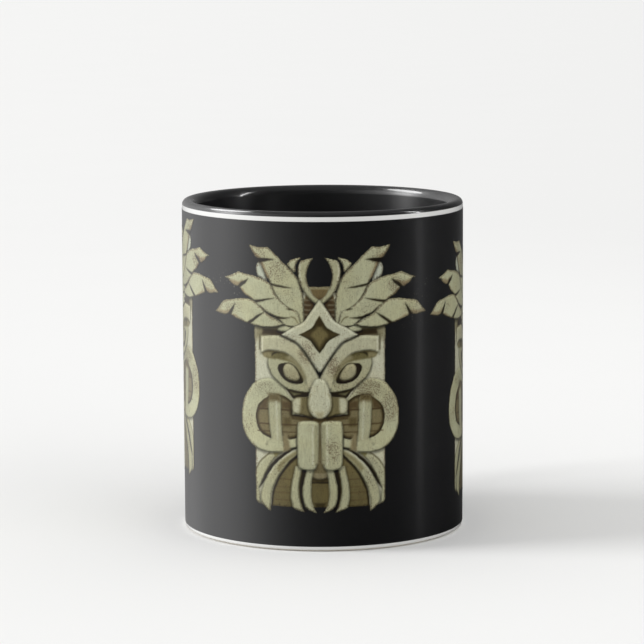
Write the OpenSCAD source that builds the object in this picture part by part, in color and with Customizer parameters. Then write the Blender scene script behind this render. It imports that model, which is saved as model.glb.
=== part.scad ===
// Straight-sided ceramic mug: a clay cup and handle under black and white glaze,
// with a printed band of three carved-mask pictures around the outside.
// Millimetres. Z is up, the foot stands on Z = 0, the handle points to +Y
// and the printed side faces -Y.

/* [Cup] */
// Outside diameter over the print
cup_d = 82; // [80:0.5:86]
// Height from the table to the lip
cup_h = 96.5; // [96:0.5:104]
// Thickness of the fired clay wall
wall = 3.42; // [3.2:0.02:4.2]
// Height of the clay floor inside the cup
floor_h = 6; // [5:0.5:8]
// Radius where the wall meets the floor inside the cup
floor_corner = 8; // [5:0.5:10]

/* [Foot] */
// Rounding of the outer bottom edge
foot_corner = 1.3; // [1:0.1:1.6]
// Radius of the hollow under the foot
recess_r = 36.2; // [34:0.2:37]
// Depth of the hollow under the foot
recess_h = 1.8; // [1.4:0.1:2.4]

/* [Glaze and print] */
// Thickness of every glaze coat
glaze_t = 0.3; // [0.2:0.02:0.34]
// Thickness of the printed film
print_t = 0.08; // [0.06:0.01:0.12]
// Lower edge of the print
print_low = 1.5; // [1.5:0.1:3]
// Upper edge of the print
print_high = 93.8; // [92:0.1:94.4]
// Length of the print around the cup
print_len = 215; // [213:1:219]

/* [Handle] */
// Height of the middle of the handle
handle_mid = 50; // [47:0.5:52]
// Height between the middles of the handle's two arms
handle_span = 54; // [50:0.5:58]
// Distance from the cup's axis to the outermost middle of the grip
handle_reach = 69.8; // [67:0.2:73]
// Width of the handle across the grip
handle_w = 12.5; // [11:0.5:14]
// Thickness of the handle
handle_t = 8.4; // [7.6:0.2:9]

/* [Hidden] */
$fn = 240;

film_r = cup_d / 2;                 // outside of the print
glaze_r = film_r - print_t;         // outside of the white glaze
clay_r = glaze_r - glaze_t;         // outside of the clay
bore_r = clay_r - wall;             // inside of the clay
clay_top = cup_h - glaze_t;
lip_out = 1.2;                      // outer rounding of the clay lip
lip_in = wall - lip_out;            // inner rounding of the clay lip
lip_edge = cup_h - 1.4;             // where the black lip glaze meets the white
glaze_low = 0.6;                    // bare clay shows below this height
joint_t = 0.78;                     // thickness of the joints under the handle

// Handle path: two quarter bends joined by a straight grip.
bend_r = 22;
bend_y = handle_reach - bend_r;
bend_z = handle_span / 2 - bend_r;

// Each mask is placed by the distance of its centre line around the cup
// from the middle of the printed side, and by its lift.
mask_at = [-66.4, -1, 67.6];
mask_lift = [5.4, 0, -1.4];

// Right half of the mask's outline, edge by edge from the bottom to the top,
// as [distance from the centre line around the cup, height].
beard_edge = [[0, 11.6], [0.7, 10.9], [2.2, 11.3], [3.9, 12.4], [4.4, 11],
              [6, 11.7], [8.7, 12.9], [14, 12.9], [14.6, 11], [15.6, 12],
              [17.2, 13.1], [18.7, 13.8], [19.1, 15]];
cheek_edge = [for (a = [-56:8:56]) [13.5 + 10 * cos(a), 38.9 + 10.5 * sin(a)]];
low_leaf_edge = [[19.1, 64], [20.6, 64.2], [22.5, 64.7], [25, 65.4],
                 [27.4, 66.4], [31.2, 66.4], [33.4, 67.2], [31.5, 69],
                 [29.6, 70.7], [27.5, 71], [25, 71.4], [22, 71.6],
                 [20.6, 71.4]];
middle_leaf_edge = [[22.5, 72.8], [24, 74.6], [25.5, 74.9], [27.6, 75.7],
                    [30, 77.2], [26.8, 78], [24.4, 79], [22, 78.5],
                    [19.5, 78.1], [18.3, 77.9]];
top_leaf_edge = [[18.7, 80.4], [18.2, 81.8], [17.2, 82.4], [18.7, 83.6],
                 [20, 85], [21, 87], [17.6, 86.5], [15, 86.3], [13, 84.7],
                 [10.5, 82.4], [9.6, 81.6]];
horn_edge = [[8.5, 82.9], [5.4, 83.7], [5.1, 83], [1.8, 83.8], [2.8, 82.4],
             [3.6, 80.6], [3.8, 78.8], [3.5, 77], [2.9, 75.4], [0, 75.4]];
half_mask = concat(beard_edge, cheek_edge, low_leaf_edge, middle_leaf_edge,
                   top_leaf_edge, horn_edge);

// Lays a point of the flat outline over the cup, on one side of the centre
// line, so that the picture keeps its size around the cup.
function laid(p, side) =
    [side * film_r * sin(p.x / film_r * 180 / PI), p.y];

whole_mask = concat([for (p = half_mask) laid(p, 1)],
                    [for (i = [len(half_mask) - 2:-1:1])
                        laid(half_mask[i], -1)]);

module mask_prism(i) {
    rotate([0, 0, mask_at[i] / film_r * 180 / PI])
        translate([0, 0, mask_lift[i]])
            rotate([90, 0, 0])
                linear_extrude(height = film_r + 1) polygon(whole_mask);
}

module film(angle) {
    rotate([0, 0, -90 - angle / 2])
        rotate_extrude(angle = angle)
            translate([glaze_r, print_low])
                square([print_t, print_high - print_low]);
}

module mask(i) {
    intersection() {
        film(print_len / film_r * 180 / PI);
        mask_prism(i);
    }
}

// Section of the cup's wall, lip, floor and foot, grown on every side.
module outer_section(grow) {
    translate([0, foot_corner])
        square([clay_r + grow, clay_top - lip_out - foot_corner]);
    translate([0, -grow])
        square([clay_r - foot_corner, clay_top + 2 * grow]);
    translate([clay_r - foot_corner, foot_corner])
        circle(foot_corner + grow);
    translate([clay_r - lip_out, clay_top - lip_out])
        circle(lip_out + grow);
}

module bore_section(grow) {
    translate([0, floor_h + floor_corner])
        square([bore_r - grow, cup_h]);
    translate([0, floor_h + grow])
        square([bore_r - floor_corner, floor_corner]);
    translate([bore_r - floor_corner, floor_h + floor_corner])
        circle(floor_corner - grow);
    difference() {
        translate([0, clay_top - lip_in])
            square([bore_r + lip_in, lip_in + 2]);
        translate([bore_r + lip_in, clay_top - lip_in])
            circle(lip_in + grow);
    }
}

module recess_section(grow) {
    translate([0, -1])
        square([recess_r - grow, recess_h]);
    translate([0, -1])
        square([recess_r - 1, recess_h + 1 - grow]);
    translate([recess_r - 1, recess_h - 1])
        circle(1 - grow);
}

module cup_section(grow) {
    difference() {
        outer_section(grow);
        bore_section(grow);
        recess_section(grow);
    }
}

// The part of the glaze coat that lies in one box of the section.
module coat(r_min, r_max, z_min, z_max) {
    rotate_extrude()
        intersection() {
            difference() {
                cup_section(glaze_t);
                cup_section(0);
            }
            translate([r_min, z_min])
                square([r_max - r_min, z_max - z_min]);
        }
}

module handle_section(grow) {
    side = (handle_w - handle_t) / 2;
    square([2 * side, handle_t + 2 * grow], center = true);
    for (x = [-side, side])
        translate([x, 0]) circle(handle_t / 2 + grow);
}

// A straight arm from inside the wall out to the bend, at one height.
module handle_arm(grow, z) {
    translate([0, 36, z])
        rotate([-90, 0, 0])
            linear_extrude(height = bend_y - 36) handle_section(grow);
}

// A quarter bend of the handle around the point [y, z], from one angle.
module handle_bend(grow, z, from) {
    translate([0, bend_y, z])
        rotate([90, 0, 90])
            rotate([0, 0, from])
                rotate_extrude(angle = 90)
                    translate([bend_r, 0])
                        rotate([0, 0, 90]) handle_section(grow);
}

module handle_solid(grow) {
    handle_arm(grow, handle_mid + handle_span / 2);
    handle_arm(grow, handle_mid - handle_span / 2);
    handle_bend(grow, handle_mid + bend_z, 0);
    handle_bend(grow, handle_mid - bend_z, -90);
    translate([0, handle_reach, handle_mid - bend_z])
        linear_extrude(height = 2 * bend_z) handle_section(grow);
}

module slip_joint(z) {
    intersection() {
        handle_arm(0, z);
        difference() {
            cylinder(r = clay_r + joint_t, h = cup_h);
            translate([0, 0, -1]) cylinder(r = clay_r, h = cup_h + 2);
        }
    }
}

module clay_body() {
    color("linen") rotate_extrude() cup_section(0);
}

module clay_handle() {
    color("wheat")
        difference() {
            handle_solid(0);
            cylinder(r = clay_r + joint_t, h = cup_h);
        }
}

module upper_slip_joint() {
    color("tan") slip_joint(handle_mid + handle_span / 2);
}

module lower_slip_joint() {
    color("peru") slip_joint(handle_mid - handle_span / 2);
}

module liner_glaze() {
    color("dimgray") {
        coat(0, bore_r + lip_in, 4, cup_h + 1);
        coat(bore_r + lip_in, film_r, lip_edge, cup_h + 1);
    }
}

module outer_glaze() {
    color("white")
        difference() {
            coat(bore_r + 1, film_r, glaze_low, lip_edge);
            handle_arm(glaze_t, handle_mid + handle_span / 2);
            handle_arm(glaze_t, handle_mid - handle_span / 2);
        }
}

module base_glaze() {
    color("ivory") coat(0, recess_r + 0.5, glaze_low, 4);
}

module handle_glaze() {
    color("black")
        difference() {
            handle_solid(glaze_t);
            handle_solid(0);
            cylinder(r = clay_r, h = cup_h);
        }
}

module print_field() {
    color("#2a2a2c")
        difference() {
            film(print_len / film_r * 180 / PI);
            for (i = [0:2]) mask_prism(i);
        }
}

module mask_left() {
    color("#a8a884") mask(0);
}

module mask_centre() {
    color("#b4b490") mask(1);
}

module mask_right() {
    color("#9c9c78") mask(2);
}

clay_body();
clay_handle();
upper_slip_joint();
lower_slip_joint();
liner_glaze();
outer_glaze();
base_glaze();
handle_glaze();
print_field();
mask_left();
mask_centre();
mask_right();
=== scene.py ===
import math

import bpy
import numpy as np
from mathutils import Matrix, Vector


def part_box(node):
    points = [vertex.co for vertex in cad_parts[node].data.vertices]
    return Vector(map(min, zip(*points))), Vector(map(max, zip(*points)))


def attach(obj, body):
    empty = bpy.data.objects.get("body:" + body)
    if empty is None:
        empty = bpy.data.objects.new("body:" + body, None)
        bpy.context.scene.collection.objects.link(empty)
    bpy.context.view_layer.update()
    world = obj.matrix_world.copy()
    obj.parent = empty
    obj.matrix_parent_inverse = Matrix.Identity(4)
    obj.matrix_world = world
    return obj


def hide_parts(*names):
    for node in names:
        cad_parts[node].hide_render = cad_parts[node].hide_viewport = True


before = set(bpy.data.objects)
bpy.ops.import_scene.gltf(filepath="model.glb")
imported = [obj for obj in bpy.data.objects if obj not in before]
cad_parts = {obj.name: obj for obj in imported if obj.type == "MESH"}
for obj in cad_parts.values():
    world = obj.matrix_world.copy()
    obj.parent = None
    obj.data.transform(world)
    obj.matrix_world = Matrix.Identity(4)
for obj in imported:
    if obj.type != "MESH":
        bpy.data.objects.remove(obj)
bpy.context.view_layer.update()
print("frame loaded:", len(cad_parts), "nodes")

mm = 0.001
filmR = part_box("print_field")[1][0] / mm        # outside of the printed film
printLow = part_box("print_field")[0][2] / mm
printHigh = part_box("print_field")[1][2] / mm
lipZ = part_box("liner_glaze")[1][2] / mm         # top of the lip
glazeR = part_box("outer_glaze")[1][0] / mm       # outside of the white glaze
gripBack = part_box("handle_glaze")[1][1] / mm    # back of the handle


# ---- shader maths: a wired socket that can be used in plain expressions ----

class Wire:
    def __init__(self, wiring, socket):
        self.wiring = wiring
        self.socket = socket

    def __add__(self, other):
        return self.wiring.math("ADD", self, other)

    def __sub__(self, other):
        return self.wiring.math("SUBTRACT", self, other)

    def __mul__(self, other):
        return self.wiring.math("MULTIPLY", self, other)

    def __truediv__(self, other):
        return self.wiring.math("DIVIDE", self, other)

    def __rsub__(self, other):
        return self.wiring.math("SUBTRACT", other, self)

    __radd__ = __add__
    __rmul__ = __mul__


class Wiring:
    def __init__(self, tree):
        self.tree = tree

    def node(self, kind, settings, sockets, output=0):
        made = self.tree.nodes.new(kind)
        for key, value in settings.items():
            if key == "stops":
                while len(made.color_ramp.elements) < len(value):
                    made.color_ramp.elements.new(0.5)
                for stop, (place, colour) in zip(made.color_ramp.elements, value):
                    stop.position = place
                    stop.color = (*colour, 1)
            else:
                setattr(made, key, value)
        for key, value in sockets.items():
            self.feed(made.inputs[key], value)
        return Wire(self, made.outputs[output]) if made.outputs else None

    def feed(self, socket, value):
        if isinstance(value, Wire):
            self.tree.links.new(value.socket, socket)
        elif isinstance(value, tuple) and socket.type == "RGBA":
            socket.default_value = (*value, 1)
        else:
            socket.default_value = value

    def math(self, operation, first, second=0.0):
        return self.node("ShaderNodeMath", {"operation": operation}, {0: first, 1: second})


class Finish(Wiring):
    def __init__(self, name, fixed):
        self.material = bpy.data.materials.new(name)
        self.material.use_nodes = True
        super().__init__(self.material.node_tree)
        self.surface = self.tree.nodes["Principled BSDF"]
        for socketName, value in fixed.items():
            self.surface.inputs[socketName].default_value = value

    def place(self, scale=(1, 1, 1)):
        spot = self.node("ShaderNodeTexCoord", {}, {}, 3)
        return self.node("ShaderNodeMapping", {}, {0: spot, 3: scale})

    def noise(self, perMm, detail=3.0, rough=0.55, stretch=(1, 1, 1)):
        return self.node("ShaderNodeTexNoise", {}, {"Vector": self.place(stretch), "Scale": perMm / mm,
                                                    "Detail": detail, "Roughness": rough})

    def span(self, value, low, high, start=0.0, stop=1.0):
        return self.node("ShaderNodeMapRange", {"interpolation_type": "SMOOTHSTEP"},
                         {0: value, 1: low, 2: high, 3: start, 4: stop})

    def specks(self, perMm, size):
        near = self.node("ShaderNodeTexVoronoi", {}, {"Vector": self.place(), "Scale": perMm / mm})
        return self.span(near, 0.0, size, 1.0, 0.0)

    def axis(self, vector, which):
        return self.node("ShaderNodeSeparateXYZ", {}, {0: vector}, which)

    def mix(self, factor, first, second, how="MIX"):
        return self.node("ShaderNodeMix", {"data_type": "RGBA", "blend_type": how},
                         {0: factor, 6: first, 7: second}, 2)

    def bump(self, height, depth, strength=1.0):
        return self.node("ShaderNodeBump", {}, {"Strength": strength, "Distance": depth * mm,
                                                "Height": height})

    def set(self, **links):
        for key, value in links.items():
            self.feed(self.surface.inputs[key.replace("_", " ")], value)


# ---- small modelling helpers ----

def pickNothing():
    if bpy.context.object and bpy.context.object.mode != "OBJECT":
        bpy.ops.object.mode_set(mode="OBJECT")
    bpy.ops.object.select_all(action="DESELECT")


def pick(piece):
    pickNothing()
    piece.select_set(True)
    bpy.context.view_layer.objects.active = piece


def settle(piece):
    pick(piece)
    bpy.ops.object.transform_apply(location=True, rotation=True, scale=True)


def editAll(piece):
    pick(piece)
    bpy.ops.object.mode_set(mode="EDIT")
    bpy.ops.mesh.select_all(action="SELECT")


def leaveEdit():
    bpy.ops.object.mode_set(mode="OBJECT")


def weld(piece, gap=0.004):
    editAll(piece)
    bpy.ops.mesh.remove_doubles(threshold=gap * mm)
    bpy.ops.mesh.normals_make_consistent(inside=False)
    leaveEdit()


def smooth(piece, degrees=38):
    pick(piece)
    bpy.ops.object.shade_smooth_by_angle(angle=math.radians(degrees))


def bend(centre, radius, start, stop, steps):
    angles = [math.radians(start + (stop - start) * i / steps) for i in range(steps + 1)]
    return [(centre[0] + radius * math.cos(a), centre[1] + radius * math.sin(a)) for a in angles]


def drawOutline(name, points, closed):
    # one vertex, extruded from point to point in the XZ plane
    pickNothing()
    bpy.ops.mesh.primitive_plane_add(size=mm, location=(points[0][0] * mm, 0, points[0][1] * mm))
    piece = bpy.context.object
    piece.name = name
    settle(piece)
    editAll(piece)
    bpy.ops.mesh.merge(type="CENTER")
    for before, after in zip(points, points[1:]):
        step = ((after[0] - before[0]) * mm, 0, (after[1] - before[1]) * mm)
        bpy.ops.mesh.extrude_region_move(TRANSFORM_OT_translate={"value": step})
    bpy.ops.mesh.select_all(action="SELECT")
    if closed:
        bpy.ops.mesh.edge_face_add()
    leaveEdit()
    return piece


def spinRound(piece, steps, degrees=360.0):
    # a spin turns clockwise about its axis, so the axis points down
    editAll(piece)
    bpy.ops.mesh.spin(steps=steps, angle=math.radians(degrees), center=(0, 0, 0), axis=(0, 0, -1))
    leaveEdit()
    weld(piece)
    smooth(piece)


def ringEdgesOnly(piece):
    # an outline filled to hold it together loses its face before a full turn
    editAll(piece)
    bpy.ops.mesh.delete(type="ONLY_FACE")
    leaveEdit()


def finishPiece(piece, finish, slotName, *nodes):
    piece.data.materials.clear()
    piece.data.materials.append(finish.material)
    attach(piece, "root")
    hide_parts(*nodes)


# ---- glazed cup ----

cup = {
    "glazeT": 0.3,         # thickness of the glaze coats, mm
    "wall": 3.42,          # clay wall under them
    "lipOut": 1.2,         # outer rounding of the clay lip
    "floorTop": 6.0,       # clay floor inside
    "floorBend": 8.0,      # bend between floor and wall
    "footBend": 1.3,       # outer rounding of the clay foot
    "glazeLow": 0.6,       # bare clay below this
    "lipEdge": 95.1,       # black lip glaze ends here
    "recessR": 36.2,       # hollow under the foot
    "recessH": 1.8,
    "turns": 256,          # steps round the cup
    "baseTurns": 192,      # steps round the hollow under it
    "white": (0.61, 0.61, 0.60),
    "whiteCloud": (0.66, 0.66, 0.645),
    "liner": (0.008, 0.008, 0.0085),
    "linerSheen": 0.26,
    "linerBrushed": 0.6,   # draws the reflections inside out into upright streaks
}


def glazeWhite():
    finish = Finish("white_glaze", {"Roughness": 0.34, "Coat Weight": 0.8, "Coat Roughness": 0.08,
                                    "IOR": 1.5})
    cloud = finish.noise(0.05, 2)
    pit = finish.specks(0.55, 0.09)
    tone = finish.mix(cloud, cup["white"], cup["whiteCloud"])
    peel = finish.noise(0.35, 2)
    finish.set(Base_Color=finish.mix(pit * 0.12, tone, (0.5, 0.48, 0.44)),
               Roughness=0.28 + cloud * 0.1,
               Normal=finish.bump(peel + pit * -0.5, 0.02, 0.35))
    return finish


def glazeBlack(name, tone, sheen, brushed=0.0):
    finish = Finish(name, {"IOR": 1.5, "Coat Weight": 1.0, "Coat Roughness": 0.05,
                           "Specular IOR Level": 0.5, "Anisotropic": brushed,
                           "Anisotropic Rotation": 0.25})
    cloud = finish.noise(0.06, 3)
    peel = finish.noise(0.3, 2)
    pits = finish.specks(0.4, 0.07)
    base = finish.mix(cloud, tone, tuple(c * 1.5 for c in tone))
    finish.set(Base_Color=finish.mix(pits * 0.3, base, (0.03, 0.03, 0.03)),
               Roughness=sheen + cloud * 0.12,
               Normal=finish.bump(peel + pits * -0.4, 0.02, 0.4))
    return finish


def bareClay(name, tone, dust):
    finish = Finish(name, {"Specular IOR Level": 0.25})
    cloud = finish.noise(0.12, 4)
    specks = finish.specks(0.9, 0.16)
    sand = finish.noise(3.0, 3)
    finish.set(Base_Color=finish.mix(specks * 0.4, finish.mix(cloud, tone, dust), (0.34, 0.28, 0.22)),
               Roughness=0.72 + sand * 0.2,
               Normal=finish.bump(sand, 0.05, 0.6))
    return finish


def makeLiner():
    t = cup["glazeT"]
    clayR = glazeR - t
    clayTop = lipZ - t
    lipR = clayR - cup["lipOut"]
    lipIn = cup["wall"] - cup["lipOut"]
    cornerR = clayR - cup["wall"] - cup["floorBend"]
    corner = (cornerR, cup["floorTop"] + cup["floorBend"])
    outside = (lipR, clayTop - cup["lipOut"])
    inside = (lipR, clayTop - lipIn)
    rise = cup["lipEdge"] - outside[1]
    low = math.degrees(math.asin(rise / (cup["lipOut"] + t)))
    lowClay = math.degrees(math.asin(rise / cup["lipOut"]))
    shown = [(0, cup["floorTop"] + t), (cornerR * 0.6, cup["floorTop"] + t)]
    shown += bend(corner, cup["floorBend"] - t, -90, 0, 14)
    shown += [(cornerR + cup["floorBend"] - t, z) for z in (40, 66, 86)]
    shown += bend(inside, lipIn + t, 180, 90, 14)
    shown += bend(outside, cup["lipOut"] + t, 90, low, 12)[1:]
    hidden = bend(outside, cup["lipOut"], lowClay, 90, 8)
    hidden += bend(inside, lipIn, 90, 180, 8)[1:]
    hidden += bend(corner, cup["floorBend"], 0, -90, 8)
    hidden += [(0, cup["floorTop"])]
    piece = drawOutline("liner_and_lip", shown + hidden, False)
    spinRound(piece, cup["turns"])
    finish = glazeBlack("black_liner_glaze", cup["liner"], cup["linerSheen"], cup["linerBrushed"])
    finishPiece(piece, finish, "black_glaze", "liner_glaze")


def makeOuterCoat():
    t = cup["glazeT"]
    clayR = glazeR - t
    foot = (clayR - cup["footBend"], cup["footBend"])
    lip = (clayR - cup["lipOut"], lipZ - t - cup["lipOut"])
    low = math.degrees(math.asin((cup["glazeLow"] - foot[1]) / (cup["footBend"] + t)))
    lowClay = math.degrees(math.asin((cup["glazeLow"] - foot[1]) / cup["footBend"]))
    high = math.degrees(math.asin((cup["lipEdge"] - lip[1]) / (cup["lipOut"] + t)))
    outline = bend(foot, cup["footBend"] + t, low, 0, 8)
    outline += bend(lip, cup["lipOut"] + t, 0, high, 3)
    outline += [(clayR, cup["lipEdge"])]
    outline += bend(foot, cup["footBend"], 0, lowClay, 6)
    piece = drawOutline("white_outer_coat", outline, True)
    ringEdgesOnly(piece)
    spinRound(piece, cup["turns"])
    finishPiece(piece, glazeWhite(), "white_glaze", "outer_glaze")


def makeBaseCoat():
    t = cup["glazeT"]
    hollow = (cup["recessR"] - 1, cup["recessH"] - 1)
    outline = [(0, cup["recessH"] - t), (18, cup["recessH"] - t)]
    outline += bend(hollow, 1 - t, 90, 0, 8)
    outline += [(cup["recessR"] - t, cup["glazeLow"]), (cup["recessR"], cup["glazeLow"])]
    outline += bend(hollow, 1, 0, 90, 8)
    outline += [(0, cup["recessH"])]
    piece = drawOutline("white_base_coat", outline, False)
    spinRound(piece, cup["baseTurns"])
    finish = glazeWhite()
    finish.material.name = "white_base_glaze"
    finishPiece(piece, finish, "white_glaze", "base_glaze")


makeLiner()
makeOuterCoat()
makeBaseCoat()
for name, tone, dust in (("clay_body", (0.66, 0.62, 0.55), (0.74, 0.70, 0.63)),
                         ("clay_handle", (0.64, 0.60, 0.53), (0.72, 0.68, 0.60)),
                         ("upper_slip_joint", (0.58, 0.53, 0.45), (0.66, 0.60, 0.52)),
                         ("lower_slip_joint", (0.58, 0.53, 0.45), (0.66, 0.60, 0.52))):
    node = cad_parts[name]
    clay = bareClay(name + "_finish", tone, dust)
    for slot in node.material_slots:
        slot.material = clay.material
    if not node.material_slots:
        node.data.materials.append(clay.material)
print("cup turned and glazed")


# ---- handle ----

handle = {
    "width": 12.5,
    "thick": 8.4,
    "bendR": 22.0,
    "high": 77.0,          # middle of the upper arm
    "low": 23.0,           # middle of the lower arm
    "rootFrom": 39.3,      # starts inside the wall
    "rootFlare": 1.9,      # how much it widens where it meets the cup
    "rootReach": 5.2,      # how far the widening runs along the arm
    "sides": 14,           # steps round each half of the section
    "bendSteps": 24,
    "rootSteps": 10,
    "rootDeep": 0.8,       # the widening starts this far inside the glaze
    "tone": (0.005, 0.005, 0.0055),
    "sheen": 0.16,
}


def makeHandle():
    grow = cup["glazeT"]
    half = handle["thick"] / 2 + grow
    side = (handle["width"] - handle["thick"]) / 2
    bendY = gripBack - half - handle["bendR"]
    pickNothing()
    section = [(x + side, z + handle["high"]) for x, z in bend((0, 0), half, -90, 90, handle["sides"])]
    section += [(x - side, z + handle["high"]) for x, z in bend((0, 0), half, 90, 270, handle["sides"])]
    piece = drawOutline("glazed_handle", section, True)
    editAll(piece)
    bpy.ops.transform.translate(value=(0, handle["rootFrom"] * mm, 0))

    def arm(stations, height):
        at = stations[0]
        for y, flare in stations[1:]:
            bpy.ops.mesh.extrude_region_move(TRANSFORM_OT_translate={"value": (0, (y - at[0]) * mm, 0)})
            scale = [(r + flare) / (r + at[1]) for r in (side + half, half)]
            bpy.ops.transform.resize(value=(scale[0], 1, scale[1]),
                                     center_override=(0, y * mm, height * mm))
            at = (y, flare)

    def turnDown(height):
        bpy.ops.mesh.spin(steps=handle["bendSteps"], angle=math.pi / 2, axis=(1, 0, 0),
                          center=(0, bendY * mm, height * mm))

    # the section starts flared inside the wall and thins to the plain arm
    wide = handle["rootFlare"]
    roots = [(handle["rootFrom"], wide)]
    for i in range(handle["rootSteps"] + 1):
        t = i / handle["rootSteps"]
        roots.append((glazeR - handle["rootDeep"] + handle["rootReach"] * t, wide * (1 - t) ** 2))
    roots.append((bendY, 0.0))
    first = [(r + roots[0][1]) / r for r in (side + half, half)]
    bpy.ops.transform.resize(value=(first[0], 1, first[1]),
                             center_override=(0, handle["rootFrom"] * mm, handle["high"] * mm))
    arm(roots, handle["high"])
    upper = handle["high"] - handle["bendR"]
    lower = handle["low"] + handle["bendR"]
    turnDown(upper)
    grip = (0, 0, (lower - upper) / 2 * mm)
    for part in range(2):
        bpy.ops.mesh.extrude_region_move(TRANSFORM_OT_translate={"value": grip})
    turnDown(lower)
    arm(list(reversed(roots)), handle["low"])
    leaveEdit()
    weld(piece)
    smooth(piece, 60)
    finish = glazeBlack("black_handle_glaze", handle["tone"], handle["sheen"])
    finishPiece(piece, finish, "black_glaze", "handle_glaze")


makeHandle()
print("handle swept")


# ---- printed film ----

film = {
    "thick": 0.08,
    "length": 215.0,       # round the cup, mm
    "ink": (0.0042, 0.0042, 0.0048),
    "satin": 0.3,
    "spray": 0.45,         # strength of the faint speckles of paint
    "belt": (60, 67, 75, 82),   # heights where they begin, are full, fade and end
    "turns": 220,
}


def printedFinish(name):
    return Finish(name, {"IOR": 1.5, "Coat Weight": 0.5, "Coat Roughness": 0.12,
                         "Specular IOR Level": 0.5})


def makeFilm():
    turn = film["length"] / filmR
    inner = filmR - film["thick"]
    outline = [(inner, printLow), (filmR, printLow), (filmR, printHigh), (inner, printHigh)]
    piece = drawOutline("black_print_film", outline, True)
    editAll(piece)
    bpy.ops.transform.rotate(value=math.pi / 2 + turn / 2, orient_axis="Z", center_override=(0, 0, 0))
    leaveEdit()
    spinRound(piece, film["turns"], math.degrees(turn))
    finish = printedFinish("black_print")
    cloud = finish.noise(0.04, 3)
    weave = finish.noise(1.6, 2)
    height = finish.axis(finish.place(), 2)
    low, full, fading, high = (z * mm for z in film["belt"])
    belt = finish.span(height, low, full) * finish.span(height, fading, high, 1.0, 0.0)
    patches = finish.span(finish.noise(0.07, 2), 0.46, 0.62)
    spray = finish.span(finish.noise(1.5, 2, 0.7), 0.64, 0.70) * patches * belt
    black = finish.mix(cloud, film["ink"], tuple(c * 1.5 for c in film["ink"]))
    finish.set(Base_Color=finish.mix(spray * film["spray"], black, (0.30, 0.30, 0.25)),
               Roughness=film["satin"] + cloud * 0.05 + weave * 0.03,
               Normal=finish.bump(weave, 0.006, 0.3))
    finishPiece(piece, finish, "black_print", "print_field")
    ends = [math.degrees(math.atan2(v.co.x, -v.co.y)) for v in piece.data.vertices]
    print("film runs from", round(min(ends), 1), "to", round(max(ends), 1), "degrees round the cup")


makeFilm()


# ---- the three printed masks ----

mask = {
    "step": 0.25,                  # spacing of the painted points, mm
    "low": 10.0,                   # the sheet the mask is cut from, mm
    "high": 88.0,
    "half": 34.5,
    "proud": 0.03,                 # how far the colour stands over the black, mm
    "thick": 0.05,
    "places": (-66.4, -1.0, 67.6),  # centre lines, measured round the cup from the front
    "lifts": (5.4, 0.0, -1.4),
    "gain": (1.08, 1.09, 1.16),    # strength of the paint's red, green and blue
    "darkest": 0.0015,
    "shifts": ((0.2, 0, 0), (0, 0.1, 0), (0, 0, 0.3)),  # each mask's own wear
    "veil": 0.010,                 # the paint is darker by the light that the gloss adds
    "waver": 0.06,                 # how far the drawn edges wander, mm
    "tones": {
        "light": (152, 152, 121),
        "pale": (164, 164, 138),
        "crest": (155, 153, 124),
        "brow": (145, 144, 114),
        "wood": (94, 86, 57),
        "dark": (46, 41, 27),
        "soot": (20, 18, 13),
        "singe": (122, 110, 82),
    },
}


def smoothLoop(points, steps=5):
    # closed line through the points; a third number marks a sharp corner
    spots = [np.array(p[:2], float) for p in points]
    sharp = [len(p) > 2 for p in points]
    count = len(spots)
    line = []
    for i in range(count):
        j = (i + 1) % count
        a, b = spots[i], spots[j]
        leave = b - a if sharp[i] else (b - spots[i - 1]) / 2
        reach = b - a if sharp[j] else (spots[(j + 1) % count] - a) / 2
        for s in range(steps):
            t = s / steps
            line.append(a * (2 * t**3 - 3 * t**2 + 1) + leave * (t**3 - 2 * t**2 + t)
                        + b * (3 * t**2 - 2 * t**3) + reach * (t**3 - t**2))
    return np.array(line)


def edgeDistance(loop, u, v):
    # distance to the loop, less than nothing inside it, and the direction away from it
    best = np.full(u.shape, 1e9)
    awayU = np.zeros(u.shape)
    awayV = np.zeros(u.shape)
    inside = np.zeros(u.shape, bool)
    for (au, av), (bu, bv) in zip(loop, np.roll(loop, -1, axis=0)):
        du, dv = bu - au, bv - av
        size = du * du + dv * dv
        if size < 1e-12:
            continue
        t = np.clip(((u - au) * du + (v - av) * dv) / size, 0, 1)
        pu, pv = u - au - t * du, v - av - t * dv
        gap = pu * pu + pv * pv
        near = gap < best
        best = np.where(near, gap, best)
        awayU = np.where(near, pu, awayU)
        awayV = np.where(near, pv, awayV)
        if dv:
            inside ^= ((av <= v) != (bv <= v)) & (u < au + (v - av) / dv * du)
    best = np.sqrt(best)
    sign = np.where(inside, -1.0, 1.0)
    scale = sign / np.maximum(best, 1e-6)
    return best * sign, awayU * scale, awayV * scale


def ease(x, low, high):
    t = np.clip((x - low) / (high - low), 0, 1)
    return t * t * (3 - 2 * t)


def lattice(u, v, size, seed):
    # soft random height between -1 and 1 that changes over a given size
    rows = np.random.default_rng(seed).uniform(-1, 1, (256, 256))
    x, y = u / size + 64, v / size + 64
    i, j = np.floor(x).astype(int), np.floor(y).astype(int)
    s, t = x - i, y - j
    s, t = s * s * (3 - 2 * s), t * t * (3 - 2 * t)
    i, j = i % 255, j % 255
    low = rows[i, j] * (1 - s) + rows[i + 1, j] * s
    high = rows[i, j + 1] * (1 - s) + rows[i + 1, j + 1] * s
    return low * (1 - t) + high * t


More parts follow.
